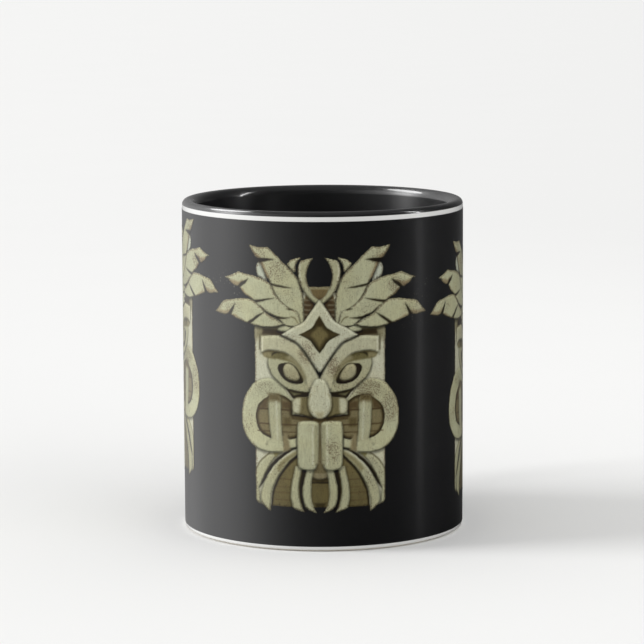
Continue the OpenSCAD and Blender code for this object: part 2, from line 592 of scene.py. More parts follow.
class Picture:
    # a painted sheet; both halves are the same, so u is measured either way from the centre line
    def __init__(self, u, v):
        self.side = u
        self.wear = np.zeros(len(u))
        wander = [lattice(u, v, 1.1, seed) + 0.6 * lattice(u, v, 0.55, seed + 7) for seed in (1, 2)]
        self.u = np.abs(u) + mask["waver"] * wander[0] * ease(np.abs(u), 0, 1.5)
        self.v = v + mask["waver"] * wander[1]
        self.colour = np.zeros((len(u), 3))
        self.edge = np.full(len(u), 1e3)
        self.mirrored = u < 0
        self.slopeU = np.zeros(len(u))
        self.slopeV = np.zeros(len(u))

    def near(self, loop, margin):
        low, high = loop.min(0) - margin, loop.max(0) + margin
        inU = (self.u > low[0]) & (self.u < high[0])
        return np.nonzero(inU & (self.v > low[1]) & (self.v < high[1]))[0]

    def cast(self, loop, width, strength, drop):
        moved = loop + np.array(drop)
        some = self.near(moved, width + 0.5)
        gap = edgeDistance(moved, self.u[some], self.v[some])[0]
        self.colour[some] *= (1 - strength * (1 - ease(gap, -0.2, width)))[:, None]

    def paint(self, points, tone, shadow=0.35, drop=(0.1, -0.3), width=0.7, bevel=0.04, rim=0.9,
              line=0.72, gleam=0.07, soft=0.14, rise=0.0, core=None, scuff=0.25):
        loop = smoothLoop(points)
        if shadow:
            self.cast(loop, width, shadow, drop)
        some = self.near(loop, 0.8)
        u, v = self.u[some], self.v[some]
        gap, awayU, awayV = edgeDistance(loop, u, v)
        shade = 1 + bevel * (0.25 * awayU + 0.95 * awayV) * (1 - ease(-gap, 0, rim))
        shade += gleam * np.clip(awayV + 0.3 * awayU, 0, 1) * (1 - ease(np.abs(gap + 0.45), 0.1, 0.5))
        shade *= 1 - line * (1 - ease(np.abs(gap + 0.1), 0.04, 0.42)) * (0.55 - 0.45 * awayV)
        middle = (loop[:, 1].max() + loop[:, 1].min()) / 2
        shade += rise * (v - middle) / max(loop[:, 1].max() - middle, 0.1)
        ink = np.array(mask["tones"][tone] if isinstance(tone, str) else tone, float)
        ink = np.tile(ink, (len(u), 1))
        if core:
            ink += (np.array(core[0], float) - ink) * ease(-gap, 0.3, core[1])[:, None]
        cover = 1 - ease(gap, -soft, soft)
        scuffed = scuff * (1 - ease(np.abs(gap + 0.25), 0.1, 0.6))
        self.wear[some] = np.where(gap < 0, scuffed, self.wear[some])
        self.colour[some] += (ink * shade[:, None] - self.colour[some]) * cover[:, None]
        closer = gap < self.edge[some]
        which = some[closer]
        self.edge[which] = gap[closer]
        self.slopeU[which] = (awayU * np.where(self.mirrored[some], -1, 1))[closer]
        self.slopeV[which] = awayV[closer]

    def fill(self, points, tone, soft=0.14, shadow=0.0, width=0.6, drop=(0, 0), line=0.0, **more):
        # a flat patch with no raised look
        self.paint(points, tone, shadow=shadow, drop=drop, width=width, bevel=0, line=line, gleam=0,
                   soft=soft, scuff=0, **more)

    def patch(self, points, tone, soft=0.14, **more):
        # a flat patch with sharp corners
        self.fill([(u, v, 1) for u, v in points], tone, soft, **more)

    def block(self, left, low, right, high, tone, **more):
        self.patch([(left, low), (right, low), (right, high), (left, high)], tone, **more)

    def cut(self, points):
        # a carved slit
        self.fill(points, "dark", soft=0.16, shadow=0.2, width=0.5)

    def rub(self, u, v, width, height, amount):
        # where the print looks worn: an oval, placed with its side
        reach = np.hypot((self.side - u) / width, (self.v - v) / height)
        self.wear = np.maximum(self.wear, amount * (1 - ease(reach, 0.35, 1.0)))


def drawBoard(art):
    art.paint([(-3, 12.9, 1), (14.3, 12.9), (17.2, 13.1), (18.6, 13.8), (19, 15.2, 1), (19, 64.2, 1),
        (10, 68, 1), (3, 75.6, 1), (-3, 75.6, 1)], (164, 163, 138), line=0.2, gleam=0)
    art.patch([(-3, 60), (8, 60), (8, 66), (4.6, 70), (3.4, 75.4), (-3, 75.4)], (97, 84, 57))
    art.block(-3, 74.9, 3.4, 75.6, (126, 120, 90))
    art.patch([(-3, 60), (6, 60), (6, 66), (4.8, 70.4), (3.4, 72.2), (-3, 72.6)], (66, 54, 38),
        soft=0.8)
    for height in (67.4, 68.8, 70.2, 71.6):
        art.patch([(2.4, height), (4.8, height + 0.1), (4.8, height + 0.6), (2.4, height + 0.4)],
            (98, 91, 72), soft=0.25)
    art.patch([(8, 60), (19.2, 60.4), (19.2, 65.4), (8, 65.4)], (115, 110, 84), soft=1.6)
    art.patch([(8, 61.4), (16.8, 61.8), (16.4, 63.4), (8, 63.6)], (54, 46, 33), soft=0.6)
    art.block(17.2, 57.4, 17.6, 62, (92, 87, 64), soft=0.3)


def drawBeard(art):
    art.fill([(-3, 12.9, 1), (14, 12.9, 1), (13.6, 17), (12, 20.5), (9.4, 25), (6.4, 29, 1),
        (-3, 30, 1)], "wood", line=0.2, rise=0.06)
    for low, high in ((14.6, 14.9), (16.7, 17), (18.4, 18.6), (20.6, 20.9)):
        art.patch([(8.2, low), (14, low + 0.2), (14, high + 0.1), (8.2, high)], (80, 69, 46), soft=0.25)
    art.block(-3, 13, 2.4, 19.6, (88, 80, 52), soft=0.2)
    art.patch([(-3, 20), (4, 20), (4.4, 24.4), (-3, 24.4)], (80, 71, 49), soft=0.4)
    art.block(-3, 19.7, 2.6, 20.2, "dark", soft=0.2)
    art.paint([(-3, 22.4, 1), (0, 20.9), (1.8, 21.2), (3.4, 22.4), (4.4, 24.4, 1), (-3, 24.6, 1)],
        (112, 104, 78), line=0.3)
    # the board's corner and the outer band of hair
    art.paint([(17.4, 13.2, 1), (18.6, 13.8), (19, 15.2, 1), (19, 23, 1), (17.6, 25.2), (16, 26.8),
        (14, 28.1), (10.8, 28.5, 1), (13.6, 26), (16, 22), (17.9, 17.8, 1)], (147, 146, 116), line=0.4)
    art.fill([(14.2, 28.1, 1), (16.2, 26.5), (17.7, 24.9), (18.9, 22.6, 1), (18.9, 23.4, 1),
        (17.8, 25.4), (16.3, 27), (14.4, 28.5, 1)], (100, 95, 70), soft=0.2)
    art.patch([(11.4, 28.4), (13.6, 28.2), (12.8, 26.9)], (108, 103, 68), soft=0.3)
    art.cut([(8.4, 29.4, 1), (10.3, 28.3), (12.1, 26.9), (13.6, 25.5), (15.3, 23.3), (16.6, 20.8),
        (17.9, 17.8, 1), (16.2, 19.9), (14.8, 22.3), (13, 24.7), (10.9, 26.7), (8.4, 28.6, 1)])
    # the big strand
    art.paint([(14.3, 11.1, 1), (14.4, 14.4), (13.9, 17.3), (12.8, 20), (11, 22.9), (9, 25.3),
        (6.3, 27.9, 1), (6.3, 29.7, 1), (8.6, 28.5), (10.9, 26.7), (13, 24.7), (14.8, 22.3),
        (16.3, 19.6), (17.2, 16.8), (17.3, 14.2), (16.2, 12.6)], "brow", line=0.4, rim=1.0)
    art.fill([(6.3, 28.1, 1), (8.4, 26.6), (10.2, 24.8), (11.6, 22.8, 1), (12.6, 23.6, 1), (11.4, 25.4),
        (9.4, 27.3), (6.3, 29.2, 1)], (116, 111, 80), soft=0.5)
    art.fill([(6.3, 29.4, 1), (8.6, 28.1), (10.9, 26.3), (12.8, 24.4), (14.4, 22, 1), (14.7, 22.2, 1),
        (13, 24.7), (11, 26.7), (8.7, 28.5), (6.3, 29.9, 1)], "pale", soft=0.15)
    art.cut([(6.3, 30.4, 1), (8.6, 29.3), (10.2, 28.2, 1), (9.9, 27.9, 1), (8.3, 28.9), (6.3, 29.7, 1)])
    art.cut([(6.3, 28, 1), (7.6, 27), (9, 25.5), (10.8, 23.2), (12.6, 20.2), (13.7, 17.3), (14.1, 14.4),
        (14.2, 11.6, 1), (13.9, 12.2, 1), (13.6, 14.6), (13.2, 17.2), (12, 20.1), (10.3, 23),
        (8.5, 25.2), (6.3, 27.3, 1)])
    # the two inner strands
    art.paint([(4.2, 11.2, 1), (5.4, 13.4), (6, 16.3), (6, 19.3), (5.4, 22.6), (4.4, 24.6, 1),
        (7, 24.6, 1), (7.7, 21.4), (8.2, 18.6), (8.4, 15.9), (8, 13.6), (7.5, 12.4)], "brow", line=0.4,
        rim=1.0, shadow=0.3)
    art.cut([(4.1, 11.3, 1), (5.2, 13.4), (5.8, 16.3), (5.8, 19.5), (5.2, 22.6), (4.7, 24, 1),
        (4.1, 24, 1), (4.5, 21), (5, 18.4), (5, 16), (4.4, 13.6), (3.6, 12.1)])
    art.paint([(0.8, 11.1, 1), (1.9, 13.2), (2.5, 16), (2.4, 19.6), (2, 22.4), (1.4, 24, 1),
        (3.6, 24, 1), (4.3, 21.4), (4.9, 18.4), (4.9, 15.8), (4.3, 13.4), (3.5, 12.2), (2.1, 11.5)],
        "brow", line=0.4, rim=1.0, shadow=0.3)
    art.patch([(-3, 12.9), (1.1, 12.9), (1.7, 14.2), (-3, 13.8)], (56, 50, 34), soft=0.4)


def drawMouth(art):
    art.paint([(6.5, 29.9, 1), (6.5, 43.4, 1), (7.7, 43.6, 1), (9, 45.2), (10.4, 47.4), (12.2, 48.9, 1),
        (14.2, 49.5), (16.6, 49.2), (19, 48.1), (20.5, 46.6), (22.1, 44.3), (23.1, 41.6), (23.5, 38.4),
        (23.3, 35.4), (22.3, 32.8), (20.6, 30.6), (18.6, 29.2), (16.4, 28.5), (13.8, 28.3),
        (10.6, 28.6, 1), (9, 29.3), (7.6, 29.6)], "light", line=0.55, bevel=0.08, rim=1.6, rise=-0.04)
    art.fill([(-3, 38.7, 1), (7.8, 39.4, 1), (7.8, 43.1, 1), (9.5, 44.3), (11.6, 45), (14, 44.7),
        (16.1, 43.5), (17.9, 41.8), (18.6, 40), (18.8, 37.8), (18.2, 35.3), (16.8, 33.5), (14.4, 32.4),
        (12.5, 32.6), (10.3, 33.2), (8.6, 32.2), (6.5, 32.7, 1), (-3, 25, 1)], (58, 50, 33),
        core=((104, 96, 68), 1.3), line=0.3)
    art.patch([(8, 41), (10.8, 41), (10.8, 43.2), (8.4, 42.8)], (78, 66, 45), soft=0.5)
    art.block(8.2, 35.8, 10.4, 38.4, (84, 75, 49), soft=0.5)
    art.patch([(15.4, 41), (17.6, 40.6), (16.2, 43), (15.2, 43.8)], (78, 66, 45), soft=0.4)
    for height, depth in ((40.6, 0.22), (36.4, 0.16), (34.3, 0.12)):
        art.block(6.6, height - depth, 18.4, height + depth, (66, 54, 37), soft=0.2)
    art.patch([(8.4, 29.2), (10.6, 28.7), (10.8, 34), (9.2, 34)], (113, 104, 76), soft=0.6)
    art.fill([(10.5, 30.4, 1), (10.9, 35.4), (11.1, 40), (11.2, 44), (12.8, 44.8), (14.6, 44.4),
        (14.8, 40), (14.6, 36), (14.1, 32.3, 1), (15.5, 30.4, 1)], "brow", shadow=0.35, line=0.3)
    art.patch([(10.6, 28.9), (15.2, 28.8), (15.2, 31.9), (10.6, 31.4)], "light", soft=0.5)
    art.patch([(11, 42.9), (15, 42.9), (14.8, 45.1), (11.4, 45.1)], (88, 79, 53), soft=0.9)
    art.patch([(11.9, 32), (12.3, 32), (12.7, 43), (12.3, 43)], "pale", soft=0.4)
    art.patch([(-3, 22.6), (-3, 38.6), (1.6, 38.3), (1.6, 22.6)], (96, 88, 62))
    art.patch([(-3, 36.8), (8, 38), (8, 38.7), (-3, 38.5)], (76, 66, 44), soft=0.3)
    art.paint([(0.5, 37), (1.6, 37.5), (3.6, 37.6), (5.6, 37.4), (6.3, 36.5), (6.45, 33), (6.4, 29),
        (6.3, 25.6), (5.8, 24.1), (4.2, 23.5), (2.4, 23.4), (1.1, 24.2), (0.7, 27), (0.45, 30),
        (0.3, 33), (0.25, 36)], "light", line=0.4, bevel=0.06, rim=1.0, rise=0.03)
    art.patch([(0.5, 25.4), (1.5, 25), (1.5, 36.4), (0.5, 36.4)], (132, 130, 100), soft=0.35)
    art.block(1.9, 25, 2.2, 36.6, (168, 168, 142), soft=0.25)


def drawEye(art):
    art.paint([(14.6, 56.4, 1), (15.1, 54.4), (14.9, 52.6), (13.8, 50.3), (12.3, 48.8), (10.2, 47.1),
        (8, 46.2), (5.2, 45.7), (3.2, 45.6), (1.2, 45.8, 1), (0.8, 52, 1), (4, 57, 1), (10, 59, 1)],
        "brow", line=0.55, shadow=0.3, width=0.5)
    art.fill([(4.5, 48.8), (5, 50.6), (6.6, 52.8), (8.4, 53.95), (10.2, 53.9), (11.3, 53.7), (12, 52.8),
        (11.7, 51.5), (10.8, 50), (9.4, 48.8), (7.6, 48.2), (5.6, 48.1)], "dark", line=0.2)
    art.paint([(5.6, 50), (6.4, 51.9), (7.8, 53.4), (9.4, 53.75), (10.3, 52.6), (10.2, 50.9),
        (9.2, 49.6), (7.6, 49), (6.2, 49.1)], (139, 135, 105), line=0.35, bevel=0.12, rim=1.6, shadow=0)
    art.fill([(16.8, 56.5, 1), (15.9, 55.5), (14.8, 55.1), (13.4, 55), (11.6, 54.9), (9.8, 54.6),
        (7.8, 54), (6.4, 53), (5.4, 51.6, 1), (5, 54, 1), (9, 58, 1), (16, 58, 1)], (92, 86, 56),
        soft=0.4)
    art.patch([(13.9, 55.4), (16.2, 55.6), (16.6, 57), (13.9, 57)], (114, 107, 76), soft=0.4)
    art.fill([(11.2, 56.8, 1), (12.6, 56.6), (13.8, 55.7, 1), (13.6, 56.5), (12.8, 57, 1)], "dark",
        soft=0.25)
    art.fill([(9.4, 57.1, 1), (11.4, 57.2), (16.6, 56.7, 1), (16.6, 57.2, 1), (11, 57.5),
        (9.2, 57.3, 1)], (84, 76, 52), soft=0.25)
    art.paint([(17.1, 61.3, 1), (14, 61.6), (12, 61.7), (10, 61.3), (7.5, 60), (5, 57.7), (2.6, 54.6),
        (0.85, 51.4), (0.1, 49.4, 1), (1, 46.4, 1), (3.4, 46.6), (3.9, 48.6), (4.6, 50.8), (5.6, 52.6),
        (7.2, 54.8), (9, 56.4), (11, 57.1), (14.6, 57.3), (17.1, 56.5, 1)], "crest", line=0.35,
        shadow=0.2, gleam=0.1)
    art.fill([(3.7, 49.8, 1), (4.5, 52), (6.3, 54.6), (8.6, 56.3, 1), (9.6, 55.4, 1), (7.4, 53.9),
        (5.8, 51.9), (4.5, 49.2, 1)], (118, 113, 84), soft=0.5)
    art.patch([(16.4, 57), (16.9, 57), (16.9, 61), (16.4, 61.1)], (176, 174, 147), soft=0.25)
    art.patch([(3.4, 48), (3.4, 46.4), (9, 46.8), (8, 47.8)], "brow", soft=0.4)


def drawNose(art):
    art.fill([(3.1, 45.7, 1), (6, 45.9), (8.2, 46.4), (10, 47.1, 1), (8.7, 45.4), (7.4, 43.9),
        (5.4, 44.3), (3.2, 44.5, 1)], "dark")
    art.patch([(5.4, 45.3), (7.6, 45.6), (8.4, 45.9), (7.3, 44.8)], (92, 90, 66), soft=0.3)
    art.paint([(2.6, 44.4, 1), (5, 44.3), (6.8, 44.1), (7.7, 43.2), (7.8, 41.5), (7.4, 40), (6.7, 39.6),
        (5.4, 39.4), (3.5, 38.9), (2, 38.3, 1)], (100, 93, 64), line=0.4, bevel=0, gleam=0, shadow=0.4)
    art.fill([(5.5, 43.9), (6.8, 44), (7.6, 43.1), (7.7, 41.5), (7.3, 40.1), (6.6, 39.8), (5.8, 40),
        (5.5, 42)], (160, 159, 131), soft=0.55)
    art.paint([(-3, 49.3, 1), (0, 49.6), (1.4, 49.1), (2.3, 47.4), (2.9, 45.2), (3.25, 43), (3.1, 41.2),
        (2.5, 39.7), (1.5, 38.7), (0, 38.3), (-3, 38.5, 1)], (165, 165, 138), line=0.3, bevel=0.05,
        rim=1.2, width=0.8)
    art.fill([(2.2, 45.5, 1), (2.9, 43.4), (2.8, 41.5), (2.2, 40.1, 1), (2.9, 40.6), (3.2, 43),
        (2.9, 45, 1)], (128, 124, 96), soft=0.3)
    for u in (0.55, 1.5):
        art.block(u, 41, u + 0.12, 47.4, (150, 148, 122), soft=0.2)
    art.patch([(-3, 38.4), (0.6, 38.4), (1.2, 40.1), (-3, 39.9)], (142, 138, 108), soft=0.5)


def drawLeaves(art):
    art.paint([(16.4, 81.6), (17.2, 82.3), (17.9, 82), (18.4, 81), (18.4, 79.6), (17.9, 78.2, 1),
        (15, 76.6, 1), (15.4, 79.2)], (156, 160, 140), line=0.35, shadow=0)
    art.paint([(20.9, 87.1, 1), (17.8, 86.5), (14.8, 86.6, 1), (12, 84.1), (10.2, 82.3), (8.6, 80.8),
        (6.8, 78.9), (5.4, 77.2), (5.1, 75.6), (4.5, 73), (4.3, 69), (4.2, 65, 1), (7, 64.6, 1),
        (12, 71, 1), (14, 76.1, 1), (14.6, 77.2), (15.6, 78.8), (16.6, 80.8), (17.1, 82.2, 1),
        (18.6, 83.5, 1), (19.2, 84.4), (20.1, 85.7)], "light", shadow=0.3, width=0.6, scuff=0.75)
    art.fill([(20.4, 86.6, 1), (19.6, 85.3), (18.4, 83.8), (17, 83.4, 1), (17.4, 84.1), (18.8, 84.8),
        (19.8, 86, 1)], "singe", soft=0.45)
    art.cut([(18.5, 83.5, 1), (17, 83.4), (15, 83.3), (13, 83.1, 1), (14.6, 82.7), (16.2, 82.3),
        (17.2, 82, 1)])
    art.fill([(17, 82, 1), (16.2, 81.9), (15.2, 79.9), (14.3, 78, 1), (14.9, 78), (16.2, 80.4, 1)],
        "singe", soft=0.35)
    art.cut([(14.1, 76.4, 1), (12.5, 76.1), (10.5, 75.7), (7.9, 75.15, 1), (10.2, 75.2), (12.2, 75.5),
        (13.8, 75.9, 1)])
    art.fill([(13.6, 75.4, 1), (12.5, 73.7), (11.2, 71.8), (9.6, 70.3), (8, 69.3), (6, 68.4, 1),
        (8, 69), (9.8, 70), (11.5, 71.6), (12.8, 73.5, 1)], "dark", soft=0.18)
    art.paint([(29.7, 77.2, 1), (27, 78.05), (25, 78.9), (24.2, 79.15), (21.5, 78.6), (19, 78.3),
        (16, 77.2), (14, 76.1), (12.9, 74), (11.2, 71.7), (9.5, 70.2), (8, 69.2), (6, 68.35),
        (5, 65, 1), (7, 64, 1), (9.8, 64.3, 1), (11.6, 66), (13.2, 67), (15.6, 68.2), (17.4, 69.5),
        (19, 70.4, 1), (20, 71.5), (22.6, 73), (23.9, 74.5, 1), (24.6, 75, 1), (25.6, 75), (28, 76.6)],
        "light", shadow=0.3, width=0.6, scuff=0.75)
    art.fill([(24.4, 75.2, 1), (26, 75.3), (27.8, 76.5), (26.2, 76.6), (24.4, 76.3), (23, 76.8),
        (22.4, 76.6, 1)], "singe", soft=0.5)
    art.cut([(24.6, 75, 1), (23.8, 75.9), (22.6, 76.6), (21, 77.3, 1), (22, 76), (23.5, 74.9, 1)])
    art.fill([(23.6, 74.6, 1), (22.6, 73.4), (21, 72.5), (19.6, 71.9, 1), (21.6, 73), (22.8, 74.4, 1)],
        "singe", soft=0.3)
    art.cut([(20, 71.4, 1), (18, 71.5), (15.6, 71.9), (12.9, 72.2, 1), (15.6, 71.4), (17.6, 70.9),
        (19, 70.6, 1)])
    art.cut([(7.4, 69.1, 1), (8.4, 69.35), (9.4, 69.2, 1), (8.4, 69, 1)])
    art.cut([(14, 67.6, 1), (12.4, 67.2), (10.5, 66.9), (8.5, 66.7, 1), (10.4, 66.45), (12, 66.5),
        (13.5, 67, 1)])
    art.fill([(6.2, 65.3, 1), (7, 66.5), (8.2, 67, 1), (8.2, 67.25, 1), (6.8, 66.8), (6, 65.5, 1)],
        (96, 90, 62), soft=0.2)
    art.paint([(8.2, 64, 1), (10.4, 64.5), (12, 63.5), (11.2, 62.9), (8.8, 62.9)], "light", line=0.4,
        shadow=0.3, width=0.6)
    art.paint([(33.6, 67.1, 1), (32.4, 68), (31, 69.5), (29.5, 70.65), (27, 71.1), (24, 71.6),
        (21.4, 71.7), (19.6, 71.3), (18.2, 70.4), (16.8, 69.3), (15.6, 68.1), (14, 67.1), (12, 66),
        (10, 64.9, 1), (11.2, 64.3), (13, 63.9), (15.5, 63.7), (18, 63.9), (20.8, 64.4, 1),
        (23.5, 65.2), (25.4, 65.8), (27.2, 66.5, 1), (28.2, 66.7), (29.6, 66.4), (31.6, 66.7)], "light",
        shadow=0.4, width=0.8, scuff=0.75)
    art.fill([(32.8, 67.2, 1), (31, 67), (29.4, 66.8), (28, 67.2), (27.2, 68.2, 1), (28.4, 67.9),
        (30, 67.6), (31.6, 67.9, 1)], "singe", soft=0.5)
    art.cut([(28.3, 66.8, 1), (27.5, 67.8), (26.6, 69), (25.6, 70.1, 1), (26.3, 68.3), (27.1, 66.6, 1)])
    art.fill([(26.8, 66.7, 1), (25.2, 66.2), (23.4, 65.6), (22, 65.1, 1), (23.6, 65.9),
        (25.6, 66.9, 1)], "singe", soft=0.3)
    art.cut([(21.6, 64.8, 1), (20, 65.9), (18, 67.15), (15.9, 68.2, 1), (17.8, 66.6), (19.5, 65.3),
        (20.6, 64.4, 1)])


def drawCrown(art):
    art.paint([(4.8, 84, 1), (6, 83.7), (8, 83.1), (8.6, 82.5), (9.1, 81.9), (8.2, 80.6),
        (7.2, 79.6, 1), (6.7, 79.9), (6.7, 81), (6.2, 82.4)], "light", line=0.35, shadow=0)
    art.cut([(5.2, 83.2, 1), (5.8, 82.6), (6.4, 81.2), (6.8, 79.6, 1), (6.6, 78.6, 1), (5.9, 78.8),
        (5.9, 81)])
    art.paint([(1.3, 83.9, 1), (2.3, 82.7), (3.1, 81), (3.5, 79.3), (3.5, 77.8), (3.1, 76.1),
        (2.5, 74.7), (1.7, 73.2), (0, 71.8), (-3, 70.5, 1), (-3, 69, 1), (0, 70), (1.9, 71.5),
        (3.3, 72.8), (4.5, 74.4), (5.4, 76.4), (5.9, 78.4), (6, 80.2), (5.7, 81.8), (5, 83, 1),
        (3, 83.5)], "brow", line=0.4, drop=(0.4, -0.1), width=0.5)
    art.fill([(5.3, 77.4, 1), (5.7, 79.2), (5.6, 81.4), (5.1, 82.6, 1), (5.2, 81.2), (5.2, 79.2),
        (4.8, 77.2, 1)], "pale", soft=0.2)
    art.patch([(-3, 49.6), (0.1, 49.7), (0.8, 51.3), (0.9, 53), (-3, 53)], "soot", soft=0.25)
    # four-pointed diamond with a hollow
    art.paint([(0.1, 72, 1), (1.5, 69.9), (2.8, 68), (4.1, 66.1), (5.5, 65.1), (8, 63.8),
        (10.9, 61.9, 1), (8.6, 60.9), (6.3, 59.8), (4.4, 57.7), (1.9, 54), (0.2, 51.4, 1),
        (-1.9, 54, 1), (-4.4, 57.7, 1), (-10.9, 61.9, 1), (-4.1, 66.1, 1), (-1.5, 69.9, 1)], "pale",
        line=0.3, shadow=0.6, drop=(0.2, -0.35), width=0.6, gleam=0.12)
    art.fill([(0, 67.4, 1), (1, 65.7), (1.9, 64.3), (3.3, 63.3), (5.8, 62, 1), (3.6, 61), (2.3, 60),
        (1.1, 58.2), (0, 56.8, 1), (-1.1, 58.2, 1), (-2.3, 60, 1), (-5.8, 62, 1), (-1.9, 64.3, 1),
        (-1, 65.7, 1)], (56, 50, 33), line=0.2, core=((98, 89, 58), 1.8))
    art.patch([(-3, 67.2), (0.1, 67.2), (1.2, 65.2), (0.6, 64.4), (-3, 64.2)], (58, 50, 32), soft=0.5)
    art.patch([(2.4, 63.2), (5.4, 62.1), (3, 61.2), (2.4, 61.9)], (66, 58, 38), soft=0.5)


def drawWear(art):
    # across and up, the oval's width and height, and how worn
    spots = (
        (-12, 80, 4.5, 5.5, 0.65), (-10, 72.5, 5, 4, 0.35), (-17.5, 84, 4, 4, 0.6),
        (17.5, 83.5, 4.5, 3.5, 0.7), (22.5, 75.5, 4.5, 3.5, 0.8), (-26, 69, 5, 3, 0.5),
        (28, 68.5, 5, 3, 0.5), (-3.5, 57, 4, 5, 0.8), (-8.5, 61, 4, 2.5, 0.5), (3.8, 53, 3, 5, 0.75),
        (6, 47.5, 3, 3, 0.5), (14, 46.5, 7, 4.5, 0.8), (20.5, 41, 4.5, 7, 0.75),
        (-16, 46.5, 5, 3.5, 0.5), (-21, 36, 3, 5, 0.45), (4, 29, 3, 5, 0.6), (-12, 24, 4, 5, 0.4),
        (15, 22, 4, 6, 0.45), (9, 76, 4.5, 5, 0.35), (-8, 50, 4, 3, 0.35), (14, 69, 5, 3, 0.4),
    )
    for spot in spots:
        art.rub(*spot)
    art.wear = np.clip(art.wear + 0.75 * (1 - ease(np.abs(art.edge), 0.1, 0.9)), 0, 1)


def maskFinish(name, wearShift):
    finish = printedFinish(name)
    inked = finish.node("ShaderNodeVertexColor", {"layer_name": "paint"}, {})
    wear = finish.node("ShaderNodeVertexColor", {"layer_name": "paint"}, {}, 1)
    streak = finish.noise(1.5, 3, 0.6, (1.6, 1.6, 0.35))
    stone = finish.noise(2.6, 2, 0.6)
    blotch = finish.noise(0.12, 2)
    flecks = finish.noise(2.6, 2, 0.75)
    shift = finish.node("ShaderNodeMapping", {}, {0: finish.place(), 1: wearShift})
    patch = finish.node("ShaderNodeTexNoise", {}, {"Vector": shift, "Scale": 0.11 / mm, "Detail": 2.0})
    worn = wear + finish.span(patch, 0.56, 0.75) * 0.3
    speck = finish.span(flecks + worn * 0.2, 0.60, 0.70)
    dots = finish.span(finish.noise(3.4, 1, 0.5), 0.55, 0.72)
    tone = (0.42 + streak * 0.60 + stone * 0.60) * (1 - dots * 0.22)
    grey = finish.node("ShaderNodeCombineColor", {}, {0: tone, 1: tone, 2: tone})
    grained = finish.mix(1.0, inked, grey, "MULTIPLY")
    warmed = finish.mix(finish.span(blotch, 0.35, 0.7) * 0.5, grained,
                        finish.mix(1.0, grained, (1.03, 0.98, 0.86), "MULTIPLY"))
    rubbed = finish.mix(1.0, inked, (0.30, 0.20, 0.15), "MULTIPLY")
    finish.set(Base_Color=finish.mix(speck * 0.75, warmed, rubbed),
               Roughness=film["satin"] + stone * 0.04,
               Normal=finish.bump(stone, 0.006, 0.3))
    return finish


def readPoints(mesh):
    co = np.empty(len(mesh.vertices) * 3)
    mesh.vertices.foreach_get("co", co)
    return co.reshape(-1, 3)


def makeMaskSheet():
    # a fine flat sheet in the XZ plane, painted and cut to the mask's shape
    step = mask["step"]
    across = round(2 * mask["half"] / step)
    up = round((mask["high"] - mask["low"]) / step)
    pickNothing()
    bpy.ops.mesh.primitive_grid_add(x_subdivisions=across, y_subdivisions=up, size=1,
                                    rotation=(math.pi / 2, 0, 0))
    sheet = bpy.context.object
    sheet.scale = (across * step * mm, up * step * mm, 1)
    sheet.location = (0, 0, (mask["low"] + mask["high"]) / 2 * mm)
    settle(sheet)
    count = len(sheet.data.vertices)
    co = readPoints(sheet.data)
    u, v = co[:, 0] / mm, co[:, 2] / mm
    art = Picture(u, v)
    for draw in (drawBoard, drawBeard, drawMouth, drawEye, drawLeaves, drawCrown, drawNose, drawWear):
        draw(art)
    print("mask painted on", count, "points")

    # points by the rim move onto it, and what lies outside goes
    rim = np.abs(art.edge) < step * 0.75
    co[rim, 0] -= (art.slopeU * art.edge)[rim] * mm
    co[rim, 2] -= (art.slopeV * art.edge)[rim] * mm
    sheet.data.vertices.foreach_set("co", co.ravel())
    linear = (np.clip(art.colour, 0, 255) / 255) ** 2.2 - mask["veil"]
    rgba = np.ones((count, 4), np.float32)
    rgba[:, :3] = np.maximum(linear, mask["darkest"]) * np.array(mask["gain"])
    rgba[:, 3] = art.wear
    layer = sheet.data.color_attributes.new("paint", "FLOAT_COLOR", "POINT")
    layer.data.foreach_set("color", rgba.ravel())
    corners = np.empty(len(sheet.data.loops), np.int64)
    sheet.data.loops.foreach_get("vertex_index", corners)
    middle = art.edge[corners.reshape(-1, 4)].mean(1)
    sheet.data.polygons.foreach_set("select", middle > 0)
    bpy.context.tool_settings.mesh_select_mode = (False, False, True)
    bpy.ops.object.mode_set(mode="EDIT")
    bpy.ops.mesh.delete(type="FACE")
    bpy.ops.mesh.select_all(action="SELECT")
    bpy.ops.mesh.delete_loose()
    leaveEdit()
    return sheet


def wrapMask(sheet, name, along, lift, wearShift):
    pickNothing()
    piece = sheet.copy()
    piece.data = sheet.data.copy()
    piece.name = name
    bpy.context.collection.objects.link(piece)
    co = readPoints(piece.data)
    turn = (co[:, 0] / mm + along) / filmR
    radius = (filmR + mask["proud"]) * mm
    co[:, 0] = np.sin(turn) * radius
    co[:, 1] = -np.cos(turn) * radius
    co[:, 2] += lift * mm
    piece.data.vertices.foreach_set("co", co.ravel())
    piece.data.update()
    pick(piece)
    thicken = piece.modifiers.new("thickness", "SOLIDIFY")
    thicken.thickness = mask["thick"] * mm
    thicken.offset = -1
    bpy.ops.object.modifier_apply(modifier=thicken.name)
    smooth(piece, 50)
    print(name, "has", len(piece.data.polygons) * 2, "triangles")
    finishPiece(piece, maskFinish(name + "_paint", wearShift), "mask_print",
                name.replace("printed_", ""))


sheet = makeMaskSheet()
for side, *spot in zip(("left", "centre", "right"), mask["places"], mask["lifts"], mask["shifts"]):
    wrapMask(sheet, "printed_mask_" + side, *spot)
bpy.data.objects.remove(sheet)
print("masks wrapped")


# ---- camera, floor and light ----

view = {
    "lens": 166.9,
    "place": (-0.28, -867.2, 183.4),
    "aim": (-0.28, 0.0, 59.86),
    "roll": -0.27,
}


